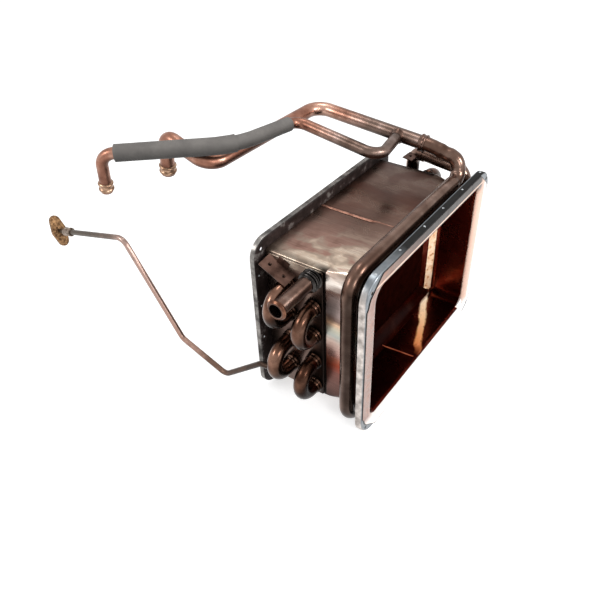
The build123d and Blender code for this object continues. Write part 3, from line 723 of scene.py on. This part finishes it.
def pressed_flange(name, node, face_x, half_y, half_z, radius, rim, open_y, open_z, open_r, material):
    """Flange with its rim bent back, from the opening's edge out over the bend and back inside."""
    bend = 2.0
    outer = rounded_rectangle(half_y, half_z, radius)
    hole = rounded_rectangle(open_y, open_z, open_r)

    def front(x, share, inset):
        return [h.lerp(p - n * inset, share) + Vector((x, 0, 0)) for (p, n), (h, _) in zip(outer, hole)]

    def rim_row(x, inset):
        return [p - n * inset + Vector((x, 0, 0)) for p, n in outer]

    rows = [front(face_x, k / 4, bend) for k in range(5)]
    rows += [rim_row(face_x - bend + bend * cos(a), bend - bend * sin(a))
             for a in (pi / 2 * k / 5 for k in range(1, 6))]
    rows += [rim_row(face_x - rim, 0.0), rim_row(face_x - rim, STEEL)]
    small = bend - STEEL
    rows += [rim_row(face_x - bend + small * cos(a), bend - small * sin(a))
             for a in (pi / 2 * k / 3 for k in range(3, -1, -1))]
    rows += [front(face_x - STEEL, k / 4, bend) for k in range(3, -1, -1)]
    return closed_sheet(name, rows, material, [node])


burner = pressed_flange("burner_flange_pressed", "burner_flange", 0.0, BURNER_Y, BURNER_Z, BURNER_R, BURNER_RIM,
                        CASE_Y + FLARE_R + 0.2, CASE_Z + FLARE_R + 0.2, CHAMBER_R + FLARE_R, STEEL_BURNER)
exhaust = pressed_flange("exhaust_flange_pressed", "exhaust_flange", EXHAUST_X, EXHAUST_Y, EXHAUST_Z, EXHAUST_R,
                         EXHAUST_RIM, CASE_Y + 0.2, CASE_Z + 0.2, CORE_R, STEEL_EXHAUST)


def drill(piece, holes, radius, way=(1, 0, 0), depth=8.0):
    """Round holes through a piece, at points in millimetres."""
    verts, faces, sides = [], [], 16
    way = Vector(way)
    side, up = frame_about(way)
    for hole in holes:
        start = len(verts)
        for end in (-depth / 2, depth / 2):
            for k in range(sides):
                a = 2 * pi * k / sides
                verts.append(Vector(hole) + way * end + (up * cos(a) + side * sin(a)) * radius)
        faces += [(start + k, start + (k + 1) % sides, start + sides + (k + 1) % sides, start + sides + k)
                  for k in range(sides)]
        faces += [tuple(reversed(range(start, start + sides))), tuple(range(start + sides, start + 2 * sides))]
    cutter = bpy.data.objects.new("hole_cutter", mesh_from("hole_cutter", verts, faces))
    bpy.context.scene.collection.objects.link(cutter)
    cut = piece.modifiers.new("holes", "BOOLEAN")
    cut.operation, cut.solver, cut.object = "DIFFERENCE", "EXACT", cutter
    bpy.context.view_layer.update()
    made = bpy.data.meshes.new_from_object(piece.evaluated_get(bpy.context.evaluated_depsgraph_get()))
    piece.modifiers.clear()
    piece.data = made
    bpy.data.objects.remove(cutter)


def four_corners(x, y, z):
    """Places of a flange's four corner holes."""
    return [(x, sy * y, sz * z) for sy in (-1, 1) for sz in (-1, 1)]


drill(burner, four_corners(0, 124, 88), 2.0)
drill(exhaust, four_corners(EXHAUST_X, 120, 86), 2.0)


def rivet(name, at, axis, radius, material=STEEL_PLATED):
    """Low domed rivet head."""
    profile = [(-0.4, 0.05), (-0.4, radius), (0.1, radius), (0.5, radius * 0.75), (0.75, radius * 0.4),
               (0.8, 0.05)]
    turned(name, at, axis, profile, material, sides=16, sharp=60)


# Places of the rivets along the burner flange's rim, its lip and the exhaust flange's face
RIM_RIVETS_Y = (-112.0, -68.0, -19.5, 21.0, 66.0, 112.0)
LIP_RIVETS_Z = (-68.0, -30.0, 12.0, 52.0)
FACE_RIVETS_Z = (-62.0, -22.0, 20.0, 58.0)
for i, y in enumerate(RIM_RIVETS_Y):
    for way, z, word in ((1, BURNER_Z - 0.3, "top"), (-1, 0.9 - BURNER_Z, "bottom")):
        rivet(f"rim_rivet_{word}_{i + 1}", (-4.0, y, z), (0, 0, way), 1.5)
for i, z in enumerate(LIP_RIVETS_Z):
    for side, word in ((-1, "left"), (1, "right")):
        rivet(f"lip_rivet_{word}_{i + 1}", (-0.1, side * 130.2, z), (1, 0, 0), 1.2, LIP_COPPER)
for i, z in enumerate(FACE_RIVETS_Z):
    rivet(f"face_rivet_left_{i + 1}", (EXHAUST_X + 0.1, -126.5, z), (1, 0, 0), 1.1)

# Water core
for side, name in ((-1, "left"), (1, "right")):
    half_x, half_z = (CORE_X - EXHAUST_X - 4.0) / 2, CASE_Z - 2.0
    middle = Vector(((EXHAUST_X + CORE_X) / 2, 0, 0))
    ring = [(Vector((p.y, 0, p.z)), Vector((n.y, 0, n.z)))
            for p, n in rounded_rectangle(half_x, half_z, 3.0, 5, 8, 12)]
    rows = [[middle + p - n * i + Vector((0, side * y, 0)) for p, n in ring]
            for y, i in ((CASE_Y + 0.1, 0.0), (PLATE_Y - 0.6, 0.0), (PLATE_Y - 0.2, 0.25), (PLATE_Y, 0.7))]
    capped(f"tube_plate_{name}_formed", rows, SHEET_OUTSIDE, [f"tube_plate_{name}"],
           flip=side > 0)


# Fins are thicker and further apart than real ones, so that they show
FIN_COUNT, FIN_THICK, FIN_SPAN, FIN_HOLE_R = 75, 0.36, 218.0, 8.1


def fin_mesh():
    """One fin with its tube holes, cut by a constrained triangulation."""
    x0, x1, z1 = -108.5, -56.5, 82.1
    points = [Vector(p) for p in ((x0, -z1), (x1, -z1), (x1, z1), (x0, z1))]
    edges = [(0, 1), (1, 2), (2, 3), (3, 0)]
    for x, z in FRONT_COLUMN + REAR_COLUMN:
        start = len(points)
        points += [Vector((x + FIN_HOLE_R * cos(pi * k / 6), z + FIN_HOLE_R * sin(pi * k / 6)))
                   for k in range(12)]
        edges += [(start + k, start + (k + 1) % 12) for k in range(12)]
    out, _, faces, *_ = delaunay_2d_cdt(points, edges, [], 1, 1e-4)
    keep = []
    for face in faces:
        centre = sum((out[i] for i in face), Vector((0, 0))) / len(face)
        if all((centre - Vector(hole)).length > FIN_HOLE_R - 0.4 for hole in FRONT_COLUMN + REAR_COLUMN):
            keep.append(face)
    return out, keep


fin_points, fin_triangles = fin_mesh()
verts, faces = [], []
for i in range(FIN_COUNT):
    y = -FIN_SPAN / 2 + FIN_SPAN * i / (FIN_COUNT - 1)
    for face_y, flip in ((y - FIN_THICK / 2, False), (y + FIN_THICK / 2, True)):
        start = len(verts)
        verts += [Vector((p.x, face_y, p.y)) for p in fin_points]
        faces += [tuple(start + k for k in (reversed(t) if flip else t)) for t in fin_triangles]
link("fin_stack", mesh_from("fin_stack", verts, faces), FIN_COPPER, ["fin_pack"])

for column, places in (("front", FRONT_COLUMN), ("rear", REAR_COLUMN)):
    for i, (x, z) in enumerate(places):
        line = [Vector((x, y, z)) for y in (-TUBE_END_Y, -40, 40, TUBE_END_Y)]
        pipe(f"core_tube_{column}_{i + 1}", line, TUBE_R, TUBE_BROWN,
             [f"{column}_tube_{i + 1}"])


def flared_rings(total):
    """Two beads and a flare where a bend's legs leave the tube plate, at both ends."""
    def swell(s):
        d = min(s, total - s) + 1.0
        first = 1.7 * max(0.0, 1 - abs(d - 1.6) / 1.6) ** 0.5 if d < 3.2 else 0.0
        second = 1.2 * max(0.0, 1 - abs(d - 5.0) / 1.5) ** 0.5 if 3.5 < d < 6.5 else 0.0
        return max(first, second)
    return swell


def return_bend(name, node, first, last, side, leg):
    """U-bend between two tube ends."""
    (x0, z0), (x1, z1) = first, last
    leg_steps, arc_steps = 12, 28
    half = hypot(x1 - x0, z1 - z0) / 2
    end, turn = side * TUBE_END_Y, side * (PLATE_Y + leg)
    centre = Vector(((x0 + x1) / 2, turn, (z0 + z1) / 2))
    out = Vector((x0, turn, z0)) - centre
    points = [Vector((x0, end + (turn - end) * i / leg_steps, z0)) for i in range(leg_steps)]
    points += [centre + out * cos(a) + Vector((0, side * half * sin(a), 0))
               for a in (pi * i / arc_steps for i in range(arc_steps + 1))]
    points += [Vector((x1, turn + (end - turn) * i / leg_steps, z1)) for i in range(1, leg_steps + 1)]
    total = 2 * abs(turn - end) + pi * half
    pipe(name, points, TUBE_R, TUBE_BROWN, [node], swell=flared_rings(total), sides=36)


# Each bend's two tubes, and how far its legs stand out of the plate
front, rear = FRONT_COLUMN, REAR_COLUMN
LEFT_BENDS = [(front[1], front[2], 9.0), (front[3], front[4], 9.0), (rear[0], rear[1], 14.0),
              (rear[2], rear[3], 14.0)]
RIGHT_BENDS = [(front[0], front[1], 9.0), (front[2], front[3], 9.0), (front[4], rear[3], 9.0),
               (rear[1], rear[2], 14.0)]
for side, word, bends in ((-1, "left", LEFT_BENDS), (1, "right", RIGHT_BENDS)):
    for i, (first, last, leg) in enumerate(bends):
        return_bend(f"return_bend_{word}_{i + 1}", f"{word}_bend_{i + 1}", first, last, side, leg)

# Coil with its riser and tail. The joint is where the riser meets the feed pipe
JOINT = (-69, 102, 121.83)
COIL_X, TAIL_Y, TAIL_Z = -24, 138, REAR_COLUMN[0][1]
coil_line = bent_route(
    [JOINT, (-60, 102, 121), (-28, 106, 111), (COIL_X, 102, COIL_Z), (COIL_X, -COIL_Y, COIL_Z),
     (COIL_X, -COIL_Y, -COIL_Z), (COIL_X, COIL_Y, -COIL_Z), (COIL_X, COIL_Y, COIL_Z),
     (REAR_X, TAIL_Y, COIL_Z), (REAR_X, TAIL_Y, TAIL_Z), (REAR_X, TUBE_END_Y, TAIL_Z)],
    [24, 13, 13, 22, 22, 22, 16, 16, 16])


def wrinkles(s):
    """The riser was bent hot and wrinkled: waves over its first 90 mm."""
    return 0.8 * noise.noise(Vector((s / 6, 0, 3))) * max(0.0, min(1.0, (90 - s) / 20))


pipe("coil_round_chamber", coil_line, TUBE_R, TUBE_COIL, ["wrap_coil"], swell=wrinkles)


def tail_clip():
    """Strap clip on the coil's tail, with a square tab and its hole."""
    at = Vector((-84.0, 135.3, COIL_Z))
    way = Vector((REAR_X - COIL_X, TAIL_Y - COIL_Y, 0)).normalized()
    turned("tail_clip_strap", at, way, [(-4, 8.15), (-4, 8.9), (4, 8.9), (4, 8.15)], TUBE_COIL)
    out = way.cross(Vector((0, 0, 1)))
    out = out if out.y < 0 else -out
    out = (out + Vector((0, 0, -0.15))).normalized()
    rows = [[at + way * (a + 8) + Vector((0, 0, b)) + out * d for d in (6.0, 8.0, 12.0, 17.0, 19.5)]
            for a, b in ((-6.5, -0.55), (6.5, -0.55), (6.5, 0.55), (-6.5, 0.55))]
    tab = closed_sheet("tail_clip_tab", rows, BRACKET_COPPER, around=False)
    drill(tab, [at + way * 8 + out * 13], 2.0, (0, 0, 1))


tail_clip()

# Feed pipe
FEED_CORNERS = [JOINT, (-211, 102, 135), (-224, -78, 129), (-287, -75, 149), (-296.5, -71, 99)]
feed_line = bent_route(FEED_CORNERS, [20, 20, 13])
pipe("feed_pipe_bent", feed_line, TUBE_R, TUBE_FEED, ["feed_pipe"], bore=TUBE_R - TUBE_WALL)


def beaded_end(name, node, line, radius, material):
    """Pipe-end fitting: two raised rings and a waist."""
    way = (line[-2] - line[-1]).normalized()
    seat = radius + 0.2
    profile = [(1.4, seat)] + [(1.5 + a, seat + h) for a, h in bump_profile(5.0, 1.7, 8)]
    profile += [(6.6, seat + 0.5), (9.2, seat + 0.5)]
    profile += [(9.3 + a, seat + 0.3 + h) for a, h in bump_profile(3.2, 1.4, 6)]
    profile += [(12.7, seat), (12.7, seat - 0.15), (1.4, seat - 0.15)]
    turned(name, line[-1], way, profile, material, [node])


beaded_end("feed_end_fitting", "feed_fitting", feed_line, TUBE_R, BRASS_END)

way = (Vector(FEED_CORNERS[1]) - Vector(JOINT)).normalized()
turned("joint_sleeve_belled", JOINT, way,
       [(-3.6, 8.1), (-3.6, 9.0), (-2.8, 9.9), (-1.6, 9.3), (0.4, 9.1), (1.8, 9.6), (2.8, 9.9),
        (3.6, 9.0), (3.6, 8.1)], TUBE_STUB, ["joint_sleeve"])

# Bypass pipe, with the foam in two lengths
BYPASS_R = 6.35
# The tee stands 31 mm along the feed pipe's first run of 142 mm
tee = Vector(JOINT).lerp(Vector(FEED_CORNERS[1]), 31 / 142)
BYPASS_CORNERS = [tee, (-89, 40, 125.5), (-196, 40, 142), (-201, -59.5, 151.5), (-310, -144.5, 148.5),
                  (-318.5, -140.7, 102)]
bypass_line = bent_route(BYPASS_CORNERS, [16, 14, 60, 16])
# The line's first points lie inside the feed pipe
pipe("bypass_pipe_bent", bypass_line[3:], BYPASS_R, TUBE_FEED, ["bypass_pipe"],
     bore=BYPASS_R - 0.8)
beaded_end("bypass_end_fitting", "bypass_fitting", bypass_line, BYPASS_R, BRASS_END)
branch = (Vector(BYPASS_CORNERS[1]) - tee).normalized()
turned("tee_braze", tee + branch * 7.0, branch,
       [(-1.5, 6.4), (-1.5, 9.0), (0.6, 8.2), (2.6, 7.2), (4.4, 6.6), (4.4, 6.4)],
       TUBE_STUB, sides=32, wobble=0.07, sharp=60)


def foam_length(name, node, points, radius, mouth):
    """Foam tube, fatter by mouth at its start, where it is pushed over the next length."""
    def swell(s):
        return mouth * max(0.0, 1 - s / 70) + 0.12 * noise.noise(Vector((s / 9, 0, radius)))

    pipe(name, points, radius, FOAM, [node], swell=swell, bore=BYPASS_R + 0.15, sides=40)


# The foam starts 15 mm past a bend, and ends 123 mm past the next corner
bend, corner, far = (Vector(p) for p in BYPASS_CORNERS[2:5])
foam_line = bent_route([bend + (corner - bend).normalized() * 15, corner,
                        corner + (far - corner).normalized() * 123], [60])
nearest = min(range(len(foam_line)), key=lambda i: (foam_line[i] - corner).length)
foam_length("foam_near", "insulation_near", foam_line[:nearest + 1], 7.9, 0.0)
foam_length("foam_far", "insulation_far", foam_line[nearest - 1:], 9.1, 0.15)

# Outlet stub with its plated collar and rolled rim
STUB_LENGTH = 58.0
out = Vector((FRONT_COLUMN[0][0], -TUBE_END_Y, FRONT_COLUMN[0][1]))
pipe("outlet_stub_tube", [out + Vector((0, -STUB_LENGTH * i / 20, 0)) for i in range(21)], TUBE_R,
     TUBE_STUB, ["outlet_stub"], bore=TUBE_R - TUBE_WALL)
profile = [(0.0, 8.1)]
for start, length, height in ((0.0, 3.0, 3.0), (3.4, 2.2, 2.2), (6.0, 2.6, 3.0), (9.0, 2.6, 2.4)):
    profile += [(start + a, 8.3 + h) for a, h in bump_profile(length, height, 6)]
profile += [(11.8, 8.1)]
turned("outlet_collar_ringed", out + Vector((0, 1, 0)), (0, -1, 0), profile, COLLAR_DARK,
       ["outlet_collar"])
profile = [(0.0, 8.1), (0.0, 8.9), (0.6, 9.5)] + [(0.8 + a, 9.2 + h) for a, h in bump_profile(2.6, 1.2, 6)]
profile += [(3.6, 8.9), (5.0, 8.5), (5.0, 8.1)]
turned("outlet_rim_rolled", out + Vector((0, -STUB_LENGTH, 0)), (0, 1, 0), profile, RIM_COPPER,
       ["outlet_rim"])

# Drain line, union and cast flange
DRAIN_Y, DRAIN_END_X, UNION_X = -(PLATE_Y + 14.0 + PITCH / 2), -428, -405
DRAIN_CORNERS = [(-104, -38.4), (-116, -40), (-170, -85.5), (-233, -62), (-302, 51.7), (DRAIN_END_X, 18.1)]
drain_line = bent_route([(x, DRAIN_Y, z) for x, z in DRAIN_CORNERS], [12, 12, 13, 13], 1.5)
pipe("drain_line_bent", drain_line, 3.2, DRAIN_TUBE, ["drain_line"], bore=2.5, sides=20)
way = (drain_line[-1] - drain_line[-2]).normalized()
union = drain_line[-1] + way * ((UNION_X - DRAIN_END_X) / way.x)
turned("drain_union_sleeve", union, way,
       [(-6.5, 3.35), (-6.5, 4.6), (-5.6, 5.4), (-3.0, 5.4), (-2.4, 4.9), (2.4, 4.9), (3.0, 5.4), (5.6, 5.4),
        (6.5, 4.6), (6.5, 3.35)], UNION_BRASS, ["drain_union"])

# From the cast flange's middle to its holes
EAR = 13.5


def cast_flange(name, node, end, way):
    """Oval two-hole casting: a hub and two ears with soft edges."""
    side, up = Vector((0, 1, 0)), way.cross(Vector((0, 1, 0))).normalized()
    circles = [((0, 0), 9.5), ((0, EAR), 6.5), ((0, -EAR), 6.5)]
    outline = []
    for k in range(56):
        a = 2 * pi * k / 56
        d = (cos(a), sin(a))
        # The furthest support point of the three circles in this direction
        (cx, cy), r = max(circles, key=lambda c: c[0][0] * d[0] + c[0][1] * d[1] + c[1])
        outline.append(Vector((cx + r * d[0], cy + r * d[1])))
    rows = []
    for depth, inset in ((0.0, 0.9), (-0.5, 0.2), (-1.2, 0.0), (-3.8, 0.0), (-4.6, 0.25), (-5.0, 1.0)):
        ring = []
        for p in outline:
            q = p * (1 - inset / p.length)
            rough = 1 + 0.012 * noise.noise(Vector((q.x / 3, q.y / 3, depth)))
            ring.append(end + way * depth + (side * q.x + up * q.y) * rough)
        rows.append(ring)
    return capped(name, rows, BRONZE_CAST, [node])


casting = cast_flange("drain_flange_cast", "drain_flange", drain_line[-1], way)
drill(casting, [drain_line[-1] - way * 2.5 + Vector((0, y, 0)) for y in (-EAR, EAR)], 2.6, way, 12.0)

# Bracket
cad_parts["bracket"].data.materials.clear()
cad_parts["bracket"].data.materials.append(BRACKET_COPPER)

# Camera at the photographer's place, solved from the edges of the burner flange
camera = bpy.data.objects.new("camera", bpy.data.cameras.new("camera"))
bpy.context.scene.collection.objects.link(camera)
camera.data.sensor_width, camera.data.lens = 36.0, 38.39
camera.data.clip_start, camera.data.clip_end = 0.01, 20.0
right, down, ahead = (Vector(v) for v in ((0.81341, 0.58083, -0.03159), (0.34217, -0.52168, -0.78151),
                                          (-0.47041, 0.62488, -0.62309)))
camera.matrix_world = Matrix.Translation(Vector((212.16, -510.20, 431.43)) * MM) @ Matrix(
    (right, -down, -ahead)).transposed().to_4x4()
bpy.context.scene.camera = camera

# Pale floor and sky, with the background white to the camera and to reflections
world = bpy.data.worlds.new("studio")
bpy.context.scene.world = world
world.use_nodes = True
tree = world.node_tree
tree.nodes.clear()
light = add(tree, "Background", {"Color": (1, 1, 1, 1), "Strength": 0.55})
white = add(tree, "Background", {"Color": (1, 1, 1, 1), "Strength": 1.0})
both = add(tree, "MixShader", {0: seen_white(tree), 1: light, 2: white})
add(tree, "OutputWorld", {"Surface": both})

FLOOR_Z, FLOOR_REACH = -100, 3000
corners = [(x * FLOOR_REACH, y * FLOOR_REACH, FLOOR_Z) for x, y in ((-1, -1), (1, -1), (1, 1), (-1, 1))]
floor_mesh = mesh_from("floor", corners, [(0, 1, 2, 3)])
floor = bpy.data.objects.new("floor", floor_mesh)
bpy.context.scene.collection.objects.link(floor)
floor_material = bpy.data.materials.new("floor_paper_white")
floor_material.use_nodes = True
tree = floor_material.node_tree
tree.nodes.clear()
level = add(tree, "MapRange", {"Value": seen_white(tree), "To Min": 0.1, "To Max": 0.62})
matt = add(tree, "BsdfDiffuse", {"Color": "#e4e4e4"})
glow = add(tree, "Emission", {"Color": (1, 1, 1, 1), "Strength": level})
both = add(tree, "AddShader", {0: matt, 1: glow})
add(tree, "OutputMaterial", {"Surface": both})
floor_mesh.materials.append(floor_material)


def soft_light(name, place, target, size, power):
    """Square soft light that faces a point."""
    lamp = bpy.data.lights.new(name, "AREA")
    lamp.shape, lamp.size, lamp.energy = "SQUARE", size, power
    made = bpy.data.objects.new(name, lamp)
    bpy.context.scene.collection.objects.link(made)
    made.location = place
    made.rotation_euler = (Vector(target) - Vector(place)).to_track_quat("-Z", "Y").to_euler()


soft_light("key", (-0.75, -0.95, 0.85), (-0.1, 0, 0), 0.34, 4.8)
soft_light("fill", (0.9, -0.6, 0.6), (0, 0, 0), 0.3, 3.5)
soft_light("mouth", (0.45, 0.1, 0.4), (-0.03, 0.05, -0.083), 0.14, 2.6)
soft_light("top", (-0.3, 0.2, 1.1), (-0.1, 0, 0), 0.3, 2.4)

bpy.context.scene.view_settings.view_transform = "Standard"
